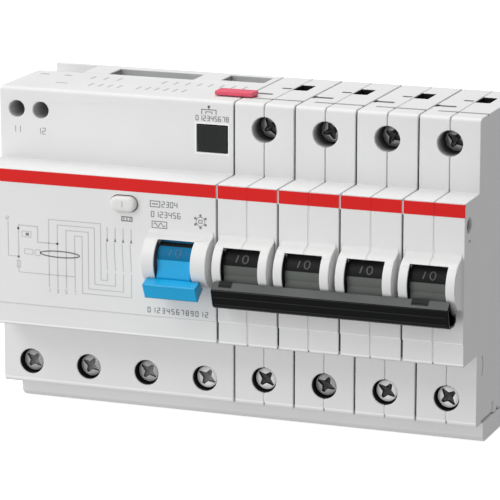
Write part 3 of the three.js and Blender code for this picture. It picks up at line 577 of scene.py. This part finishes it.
def stripe(name, left, right):
    """The printed band along the top of the nose, which follows the nose's rounded edge."""
    profile = [(0.0, STRIPE_LOW), (0.0, STRIPE_TOP), (0.015, STRIPE_TOP + 0.2), (0.06, STRIPE_TOP + 0.35)]
    outer = [(NOSE + back - 0.05, z) for back, z in profile]
    inner = [(NOSE + back + 0.1, z) for back, z in profile]
    ribbon(name, left, right, outer, inner, INK_RED)


margin = 0.03
stripe("rcd_stripe", LEFT_SIDE + 0.1, -SIDE_GAP - margin)
for index in POLES:
    centre = pole_x(index)
    half = MODULE / 2 - SIDE_GAP - margin
    stripe(f"pole_{index + 1}_left_stripe", centre - half, centre - margin)
    stripe(f"pole_{index + 1}_right_stripe", centre + margin, centre + half)


# ------------------------------------------------------------------ toggle bulges

BULGE = 7.1                 # radius of the bulge around a toggle
BULGE_HALF = 7.85           # half its width
FAIRING = 1.6               # radius of the hollow that leads from the nose to the bulge
FAIRING_Y = NOSE - PIVOT_Y - FAIRING
FAIRING_Z = math.sqrt((BULGE + FAIRING) ** 2 - FAIRING_Y ** 2)


def bulge_line(depth, start, fairing_too):
    """Points of the bulge's front, some depth below it, from a start angle upward. They span 14 degrees,
    or run on through the hollow to the nose."""
    meet = math.degrees(math.atan2(FAIRING_Z, -FAIRING_Y))
    end = meet if fairing_too else start + 14
    steps, fairing_steps = 7, 5
    points = []
    for k in range(steps + 1):
        angle = math.radians(start + (end - start) * k / steps)
        reach = BULGE - depth
        points.append((PIVOT_Y - reach * math.cos(angle), PIVOT_Z + reach * math.sin(angle)))
    if fairing_too:
        for k in range(1, fairing_steps + 1):
            angle = math.radians(-meet * (1 - k / fairing_steps))
            reach = FAIRING + depth
            points.append((PIVOT_Y + FAIRING_Y + reach * math.cos(angle),
                           PIVOT_Z + FAIRING_Z + reach * math.sin(angle)))
    return points


def bulge_skins(name, centre):
    """The smooth faces beside the upper corners of a toggle window."""
    start = math.degrees(math.asin((WINDOW_TOP - PIVOT_Z) / BULGE)) - 6
    outer = bulge_line(-0.04, start, False)
    inner = bulge_line(0.15, start, False)
    near, far = WINDOW_HALF + 0.12, BULGE_HALF - 0.3
    ribbon(f"{name}_left_skin", centre - far, centre - near, outer, inner, FINISH["housing"])
    ribbon(f"{name}_right_skin", centre + near, centre + far, outer, inner, FINISH["housing"])


def window_cheek(name, centre, top_angle, finish):
    """The left cheek of a toggle window, up to an angle, as a thin sheet of painted shade."""
    low_angle, steps = -68, 12
    angles = [math.radians(low_angle + (top_angle - low_angle) * k / steps) for k in range(steps + 1)]
    outer, inner = [
        [(PIVOT_Y - reach * math.cos(angle), PIVOT_Z + reach * math.sin(angle)) for angle in angles]
        for reach in (BULGE - 0.12, DRUM - 0.4)
    ]
    left = centre - WINDOW_HALF
    ribbon(name, left + 0.01, left + 0.07, outer, inner, finish)


def bulge_lap(name, centre):
    """The lip in a pole's middle seam, from its window up over the bulge and the hollow."""
    above_window = CHEEK_ANGLE + 3
    outer = bulge_line(0.1, above_window, True)
    inner = bulge_line(0.25, above_window, True)
    ribbon(name, centre - SEAM_HALF, centre + SEAM_HALF, outer, inner, FINISH["housing"])


window_cheek("rcd_window_cheek", RCD_TOGGLE_X, RCD_CHEEK_ANGLE, DARK_PAINTED_SHADE)
for index in POLES:
    centre = pole_x(index)
    window_cheek(f"pole_{index + 1}_window_cheek", centre, CHEEK_ANGLE, SHADOW)
    bulge_lap(f"pole_{index + 1}_bulge_lap", centre)
    bulge_skins(f"pole_{index + 1}", centre)


# ------------------------------------------------------------------ seams inside the poles

def seam_laps(index):
    """The lip of one half shell that shows, a little deeper, in the seam to the other half."""
    ring = SCREW_HOLE + 0.15
    above_bulge, below_bulge = 8.75, -8.0
    strips = [
        (FACE + 0.5, (FACE_START, LINE_Z - ring)),
        (FACE + 0.5, (LINE_Z + ring, FACE_END - 0.1)),
        (FACE + 0.15, (-FACE_END, LOAD_Z - ring)),
        (FACE + 0.3, (LOAD_Z + ring, -FACE_START)),
        (NOSE + 0.1, (above_bulge, NOSE_END - 0.6)),
        (NOSE + 0.1, (NOSE_STEP_Z + 0.1, below_bulge)),
        (NOSE + NOSE_STEP + 0.15, (0.4 - NOSE_END, NOSE_STEP_Z - 0.1)),
    ]
    across = (pole_x(index) - SEAM_HALF, pole_x(index) + SEAM_HALF)
    spans = [(across, (front, front + 0.4), height) for front, height in strips]
    blocks(f"pole_{index + 1}_seam_lap", spans, FINISH["housing"])


def gap_shade(index):
    """Sheets of painted shade that close the gap on the left of a pole a little way in. Behind the red
    stripe they are pale."""
    reach = SIDE_GAP - 0.02
    across = (MODULE * index - reach, MODULE * index + reach)
    inside, thick = 0.9, 0.3
    top_rear = -4.5
    blocks(f"gap_shade_{index + 1}", [
        (across, (FACE + inside, FACE + inside + thick), (FACE_START, FACE_END)),
        (across, (NOSE + inside, NOSE + inside + thick), (1 - NOSE_END, STRIPE_LOW - 0.5)),
        (across, (FACE + inside, FACE + inside + thick), (-FACE_END, -FACE_START)),
        (across, (FACE + 1.5, top_rear), (TOP - inside - thick, TOP - inside)),
    ], SHADOW)
    behind_stripe = (across, (NOSE + thick, NOSE + 2 * thick), (STRIPE_LOW - 0.3, STRIPE_TOP))
    blocks(f"gap_stripe_back_{index + 1}", [behind_stripe], FINISH["housing"])


def pale_edge(name, plane, left, right, low, high):
    """A thin painted highlight along an edge that catches the light."""
    edge = Marks(on_front(plane), 0.02)
    edge.box(left, right, low, high)
    edge.build(name, PALE_INK_AND_PAINTED_HIGHLIGHT)


def pale_edges(name, left, right, nose_steps):
    """Painted highlights along the lit edges under the nose, at the foot of the terminal face and at the
    nose's own step.
    """
    pale_edge(f"{name}_nose_edge", NOSE + NOSE_STEP, left, right, 0.25 - NOSE_END, 0.65 - NOSE_END)
    pale_edge(f"{name}_foot_edge", FACE, left, right, -FACE_END - 0.2, 0.2 - FACE_END)
    if nose_steps:
        pale_edge(f"{name}_step_edge", NOSE, left, right, NOSE_STEP_Z + 0.05, NOSE_STEP_Z + 0.4)


near, far = 0.25, 8.4       # a half shell's edges run from and to here, from the middle of its pole
for index in POLES:
    seam_laps(index)
    gap_shade(index)
    centre = pole_x(index)
    pale_edges(f"pole_{index + 1}_left", centre - far, centre - near, True)
    pale_edges(f"pole_{index + 1}_right", centre + near, centre + far, True)
pale_edges("rcd", LEFT_SIDE + 0.3, -0.5, False)


# ------------------------------------------------------------------ marks on the residual current block

def circuit_diagram():
    """Nested conductor loops through a ring, with a row of switches and a test circuit beside them."""
    thin = Marks(on_front(NOSE))
    bold = Marks(on_front(NOSE))
    pen = 0.24
    first_wire, wire_pitch = -49.55, 2.58
    for k in range(4):
        left = first_wire + wire_pitch * k
        back = -34.05 - 1.85 * k
        out = -32.1 + 2.36 * k
        loop_top = 8.7 - 1.35 * k
        loop_low = -7.1 - 1.43 * k
        thin.line([(left, -10.4), (left, loop_top), (back, loop_top), (back, loop_low), (out, loop_low),
                   (out, -4.9)], pen)
        thin.line([(out, -4.2), (out - 0.35, 3.6)], pen)
        thin.line([(out, 4.8), (out, 7.9)], pen)
        bold.patch([(out - 0.34, 3.9), (out + 0.34, 3.9), (out, 5.1)])
    second_wire = first_wire + wire_pitch
    ring_z = -0.95
    bold.line(arc(-46.25, ring_z, 5.85, 0.85, steps=48), 0.34)
    # The test circuit: its feed, its branch to the second wire, its resistor, relay and return.
    trunk, branch = -58.7, -52.9
    branch_z, joint_z = 2.0, -2.45
    thin.line([(-61.8, 7.2), (-61.8, joint_z), (trunk, joint_z)], pen)
    thin.line([(trunk, joint_z), (trunk, 6.4), (branch, 6.4), (branch, branch_z), (second_wire, branch_z)],
              pen * 1.4)
    thin.line([(trunk, -3.6), (trunk, -6.9), (-41.9, -6.9)], pen)
    for x, z in ((trunk, 5.5), (trunk, -2.6), (second_wire, branch_z)):
        bold.dot(x, z, 0.36)
    thin.outline(-57.6, -54.9, 3.2, 4.8, pen)
    bold.box(-56.5, -55.5, 3.6, 4.4)
    thin.outline(-56.9, -54.4, -1.6, -0.2, pen)
    thin.line(arc(branch, ring_z, 0.9, 0.9), pen)
    thin.outline(trunk - 0.5, trunk + 0.5, -5.5, -3.6, pen)
    thin.number("12", -62.9, 7.7, 1.0, 0.2)
    thin.number("1357", -49.9, -11.9, 1.0, 0.2, pitch=2.6)
    thin.build("diagram_lines", INK_GREY)
    bold.build("diagram_points", DARK_INK_AND_PAINTED_SHADE)


def rating_marks():
    """Generic ratings beside the test button: numbers, a boxed wave and a ring of dots."""
    marks = Marks(on_front(NOSE))
    pen = 0.2
    marks.outline(-19.3, -16.5, 14.7, 16.3, 0.22)
    marks.line([(-18.8, 15.5), (-17.0, 15.5)], 0.3)
    marks.number("2304", -15.9, 14.8, 1.45, pen)
    marks.number("0123456", -19.0, 11.9, 1.5, pen)
    marks.outline(-18.8, -14.5, 8.9, 10.7, pen)
    shares = [k / 24 for k in range(25)]
    marks.line([(-18.3 + 3.3 * share, 9.8 + 0.5 * math.sin(4 * math.pi * share)) for share in shares], pen)
    ring_x, ring_z, ring = -4.7, 11.6, 1.7
    for k in range(6):
        angle = math.radians(60 * k + 30)
        marks.dot(ring_x + ring * math.cos(angle), ring_z + ring * math.sin(angle), 0.36)
    marks.line(arc(ring_x, ring_z, 1.25, 1.25), 0.14)
    marks.outline(ring_x - 0.5, ring_x + 0.5, ring_z - 0.4, ring_z + 0.4, pen)
    marks.number("0123456789012", -20.2, -14.9, 1.35, 0.22, pitch=1.04)
    marks.build("rating_marks", DARK_INK_AND_PAINTED_SHADE)


def button_marks():
    """A barred label under the test button and a bar on it."""
    label = Marks(on_front(NOSE))
    label.outline(-27.7, -24.7, 10.1, 11.2, 0.3)
    for bar_x in (-27.1, -26.2, -25.3):
        label.line([(bar_x, 10.3), (bar_x, 11.0)], 0.28)
    label.build("button_label", DARK_INK_AND_PAINTED_SHADE)
    on_button = Marks(on_front(BUTTON_FRONT))
    on_button.line([(BUTTON_X, 14.2), (BUTTON_X, 15.8)], 0.35)
    on_button.build("button_mark", INK_GREY, "test_button", "button_white")


def button_cap():
    """The smooth domed face of the test button, over the CAD button's plain one."""
    straight = BUTTON_HALF - BUTTON_RISE
    # A level: how far in from the button's outline, and how far behind its front.
    levels = [(0.0, 1.4), (0.0, 0.7), (0.12, 0.4), (0.4, 0.18), (0.9, 0.04), (1.5, 0.0)]
    around = 48
    corners = []
    for inset, behind in levels:
        radius = BUTTON_RISE - inset
        for k in range(around):
            angle = 2 * math.pi * (k + 0.5) / around
            across = math.copysign(straight, math.cos(angle)) + radius * math.cos(angle)
            up = radius * math.sin(angle)
            corners.append((BUTTON_X + across, BUTTON_FRONT + behind, BUTTON_Z + up))
    caps = [tuple(range(around)), tuple(range(len(corners) - around, len(corners)))]
    faces = ring_faces(len(levels), around) + caps
    build("test_button_cap", corners, faces, [FINISH["button_white"]], "test_button")


def window_marks():
    """A pale outline around the window, and a plug symbol with a row of numbers above it."""
    rim = Marks(on_front(FACE), 0.06)
    rim.outline(-11.2, -1.5, 27.6, 36.0, 0.4)
    rim.build("window_rim", PALE_INK_AND_PAINTED_HIGHLIGHT)
    marks = Marks(on_front(FACE))
    plug_x = -7.3
    marks.line([(plug_x, 40.8), (plug_x, 39.9)], 0.22)
    marks.dot(plug_x, 40.6, 0.4)
    for half, height, pen in ((2.1, 39.8, 0.24), (0.9, 39.2, 0.2)):
        left, right = plug_x - half, plug_x + half
        marks.line([(left, 38.5), (left, height), (right, height), (right, 38.5)], pen)
    marks.number("012345678", -11.1, 36.75, 1.3, 0.2)
    marks.build("window_marks", DARK_INK_AND_PAINTED_SHADE)


def aux_labels():
    """The numbers of the two auxiliary terminals."""
    marks = Marks(on_front(FACE))
    marks.number("11", -65.9, 29.8, 1.7, 0.18)
    marks.number("12", -58.3, 29.6, 1.7, 0.18)
    marks.build("aux_labels", GREY_INK_AND_PAINTED_SHADE)


circuit_diagram()
rating_marks()
button_marks()
button_cap()
window_marks()
aux_labels()


# ------------------------------------------------------------------ top of the residual current block

def top_vents():
    """Painted shade of rows of narrow slots in the top, each running from front to back, laid on as flat
    dark marks.
    """
    slots = Marks(on_top(TOP), 0.02)
    # A row: X of its first slot, number of slots, pitch, and their span from front to back.
    rows = [
        (-46.4, 4, 2.9, -36.4, -32.4), (-32.0, 6, 2.7, -36.4, -32.4),
        (-50.0, 3, 4.0, -26.2, -22.4), (-28.4, 4, 3.5, -26.2, -22.4), (-14.6, 4, 3.4, -26.2, -22.4),
    ]
    for first, count, pitch, front, back in rows:
        for k in range(count):
            x = first + pitch * k
            slots.line([(x, front), (x, back)], 0.55)
    slots.line([(-57.0, -34.6), (-53.5, -34.6)], 0.9)
    slots.line([(-66.5, -23.5), (-63.9, -23.5)], 1.1)
    slots.line([(-59.3, -23.3), (-57.1, -23.3)], 1.1)
    slots.build("top_vents", VENT_PAINTED_SHADE)


def recess_walls():
    """Painted shade on the walls of the two pockets in the top, which catch little light: a grey sheet on
    each rear wall and a dark one on each left wall.
    """
    height = (36.1, TOP - 0.3)
    clear, thick = 0.02, 0.1
    for name, (left, right), (front, back) in (
        ("left_recess", (-48.4, -22.7), (-17.3, -7.7)),
        ("right_recess", (-15.1, -2.3), (-15.2, -6.3)),
    ):
        rear_wall = ((left + thick, right - clear), (back - thick, back - clear), height)
        side_wall = ((left + clear, left + thick), (front + clear, back - clear), height)
        blocks(f"{name}_rear_wall", [rear_wall], WALL_PAINTED_SHADE)
        blocks(f"{name}_side_wall", [side_wall], DARK_INK_AND_PAINTED_SHADE)


def pole_top(index):
    """Painted shade in the top of a pole: dark sheets lining the wire entry, and dark and grey marks over
    the slots.
    """
    x = pole_x(index)
    left, right = x - 0.13, x + 4.18
    front, back = -22.28, -13.62
    thick = 0.08
    height = (39.45, TOP - 0.27)
    blocks(f"pole_{index + 1}_entry", [
        ((left, left + thick), (front, back), height),
        ((right - thick, right), (front, back), height),
        ((left + thick, right - thick), (front, front + thick), height),
        ((left + thick, right - thick), (back - thick, back), height),
        ((left + thick, right - thick), (front + thick, back - thick), (height[0], height[0] + thick)),
    ], SHADOW)
    edge = MODULE / 2 - SIDE_GAP - 0.1
    dark = Marks(on_top(TOP), 0.02)
    dark.box(x - edge, x - 2.8, -31.1, -29.6)
    dark.box(x - edge, x - edge + 0.9, -31.9, -28.9)
    dark.box(x - 3.3, x - 0.6, -21.6, -20.2)
    dark.build(f"pole_{index + 1}_dark_slot_shade", DARK_PAINTED_SHADE)
    pale = Marks(on_top(TOP), 0.02)
    pale.box(x - 5.5, x + edge, -38.0, -36.8)
    pale.build(f"pole_{index + 1}_grey_slot_shade", GREY_INK_AND_PAINTED_SHADE)


top_vents()
recess_walls()
for index in POLES:
    pole_top(index)


# ------------------------------------------------------------------ toggles

def drum_band(name, centre, finish, body, slot):
    """Painted shade on the upper part of a drum, and darker painted shade on the strip above it that stays
    in the shade of the window.
    """
    step = 0.4
    band = Marks(on_drum(centre, DRUM), BAND_THICK)
    band.line([(0, 1.0 + step * k) for k in range(11)], DRUM_WIDTH)
    band.build(name, finish, body, slot)
    shade = Marks(on_drum(centre, DRUM), BAND_THICK)
    shade.line([(0, 5.05 + step * k) for k in range(5)], DRUM_WIDTH)
    shade.build(f"{name}_shade", SHADOW, body, slot)


def drum_marks(name, centre, finish, body, slot):
    """A raised O and a bar on the part of the drum that shows while the toggle is down, in a darker copy of
    the toggle's plastic: painted shade.
    """
    marks = Marks(on_drum(centre, DRUM + BAND_THICK), 0.12)
    marks.line(arc(1.2, 3.0, 0.75, 1.1), 0.35)
    marks.line([(-1.4, 2.0), (-1.0, 4.0)], 0.35)
    marks.build(name, finish, body, slot)


for index in POLES:
    body, slot = "breaker_toggles", "toggle_black"
    drum_band(f"pole_{index + 1}_drum_band", pole_x(index), DRUM_PAINTED_SHADE_BLACK, body, slot)
    drum_marks(f"pole_{index + 1}_drum_marks", pole_x(index), RELIEF_BLACK_PAINTED_SHADE, body, slot)
drum_band("rcd_drum_band", RCD_TOGGLE_X, DRUM_PAINTED_SHADE_BLUE, "rcd_toggle", "handle_blue")
drum_marks("rcd_drum_marks", RCD_TOGGLE_X, RELIEF_BLUE_PAINTED_SHADE, "rcd_toggle", "handle_blue")


# Upper edges of the tie bar, front and rear, as (y, z) from the axle.
BAR_FRONT_EDGE = Vector((-9.4, -5.4))
BAR_REAR_REACH, BAR_REAR_ANGLE = 7.2, math.radians(24)
BAR_REAR_EDGE = -BAR_REAR_REACH * Vector((math.cos(BAR_REAR_ANGLE), math.sin(BAR_REAR_ANGLE)))


def bar_ridges():
    """Two fine ridges along the front of the tie bar, which leans back as it goes down; they are a little
    lighter than the bar, a painted highlight.
    """
    lean = 0.3

    def lay(x, down, lift):
        behind_edge = lean * (down + BAR_FRONT_EDGE.y)
        return x, PIVOT_Y + BAR_FRONT_EDGE.x + behind_edge - lift, PIVOT_Z - down

    ridges = Marks(lay, 0.1)
    for down in (7.2, 9.3):
        ridges.line([(2.2, down), (67.2, down)], 0.3)
    ridges.build("tie_bar_ridges", RIDGE_PAINTED_HIGHLIGHT, "breaker_toggles", "bar_black")


def bar_top():
    """The matt textured top of the tie bar, lighter than the bar's black as a painted sheen, with painted
    shade in the slot near each end.
    """
    way = (BAR_FRONT_EDGE - BAR_REAR_EDGE).normalized()
    normal = Vector((way.y, -way.x))
    length = (BAR_FRONT_EDGE - BAR_REAR_EDGE).length

    def lay(x, along, lift):
        place = BAR_REAR_EDGE + way * along + normal * lift
        return x, PIVOT_Y + place.x, PIVOT_Z + place.y

    bar_ends = (1.7, 67.8)
    slot_spans = ((3.3, 7.1), (57.5, 62.3))
    slot_front = 0.65 * length
    # the grain patch is also painted sheen, lighter than the bar; the slot patches are painted shade
    grain_rear, grain_front = 0.6, length - 0.5
    grain = Marks(lay, 0.05)
    grain.box(bar_ends[0], slot_spans[0][0], grain_rear, grain_front)
    grain.box(slot_spans[0][1], slot_spans[1][0], grain_rear, grain_front)
    grain.box(slot_spans[1][1], bar_ends[1], grain_rear, grain_front)
    slots = Marks(lay, 0.02)
    for left, right in slot_spans:
        grain.box(left, right, slot_front, grain_front)
        slots.box(left, right, 0.2, slot_front)
    slots.build("tie_bar_slot_shade", SHADOW, "breaker_toggles", "bar_black")
    grain.build("tie_bar_top", BAR_TOP_GRAIN_AND_PAINTED_SHEEN, "breaker_toggles", "bar_black")


bar_ridges()
bar_top()


# ------------------------------------------------------------------ right side

def side_marks():
    """Two short curved mould lines on the right side."""
    marks = Marks(on_right(RIGHT_SIDE))
    pen = 0.3
    marks.line(arc(-41.5, -26.0, 2.4, 3.2, -60.0, 60.0, 16), pen)
    marks.line(arc(-53.5, 11.0, 0.7, 0.5, 0.0, 180.0, 10), pen)
    marks.build("side_marks", DARK_INK_AND_PAINTED_SHADE)


side_marks()


# ------------------------------------------------------------------ stage, light and camera

def stage_floor():
    """A pale floor just under the part. Light from below its level passes through it."""
    half = 3.0
    mesh = bpy.data.meshes.new("studio_floor")
    low = cad_box[0].z - 0.0005
    corners = [(-half, -half, low), (half, -half, low), (half, half, low), (-half, half, low)]
    mesh.from_pydata(corners, [], [(0, 1, 2, 3)])
    floor = bpy.data.objects.new("studio_floor", mesh)
    scene.collection.objects.link(floor)
    material, tree, shader, place = new_material("studio_white")
    tree.links.new(ramp(tree, noise(tree, place, 4.0), (0.93, 0.93, 0.93), (0.96, 0.96, 0.96)),
                   shader.inputs["Base Color"])
    shader.inputs["Roughness"].default_value = 0.9
    shader.inputs["Emission Color"].default_value = (1, 1, 1, 1)
    shader.inputs["Emission Strength"].default_value = 0.6
    mesh.materials.append(material)
    floor.visible_diffuse = False
    floor.visible_glossy = False
    floor.visible_shadow = False


def area_light(name, place, size, power, in_reflections=True):
    """A round soft light, in metres and watts, aimed at the middle of the part."""
    target = Vector((0, -0.04, 0))
    data = bpy.data.lights.new(name, "AREA")
    data.shape = "DISK"
    data.size = size
    data.energy = power
    light = bpy.data.objects.new(name, data)
    light.location = place
    light.rotation_euler = (target - Vector(place)).to_track_quat("-Z", "Y").to_euler()
    light.visible_glossy = in_reflections
    scene.collection.objects.link(light)


def studio():
    """White surroundings, a key light from the upper left, a fill from below it and a light on top."""
    stage_floor()
    world = bpy.data.worlds.new("studio")
    world.use_nodes = True
    world.node_tree.nodes["Background"].inputs["Color"].default_value = (1, 1, 1, 1)
    world.node_tree.nodes["Background"].inputs["Strength"].default_value = 0.44
    scene.world = world
    area_light("key", (-0.9, -1.1, 1.1), 0.9, 9)
    area_light("fill", (-0.6, -0.85, -0.15), 1.1, 4.9, in_reflections=False)
    area_light("top", (-0.1, 0.1, 1.2), 1.0, 8.5)
    scene.view_settings.view_transform = "Standard"


def camera():
    """A long lens from the right and a little above."""
    azimuth, elevation, distance = math.radians(20.52), math.radians(13.3), 0.8894
    target = Vector((0.0067, -0.050, 0.003))
    back = Vector((math.sin(azimuth) * math.cos(elevation),
                   -math.cos(azimuth) * math.cos(elevation), math.sin(elevation)))
    data = bpy.data.cameras.new("camera")
    data.sensor_width = 36
    data.lens = 235.9
    data.clip_start = 0.05
    data.clip_end = 20
    eye = bpy.data.objects.new("camera", data)
    eye.location = target + back * distance
    eye.rotation_euler = (-back).to_track_quat("-Z", "Y").to_euler()
    scene.collection.objects.link(eye)
    scene.camera = eye


studio()
camera()
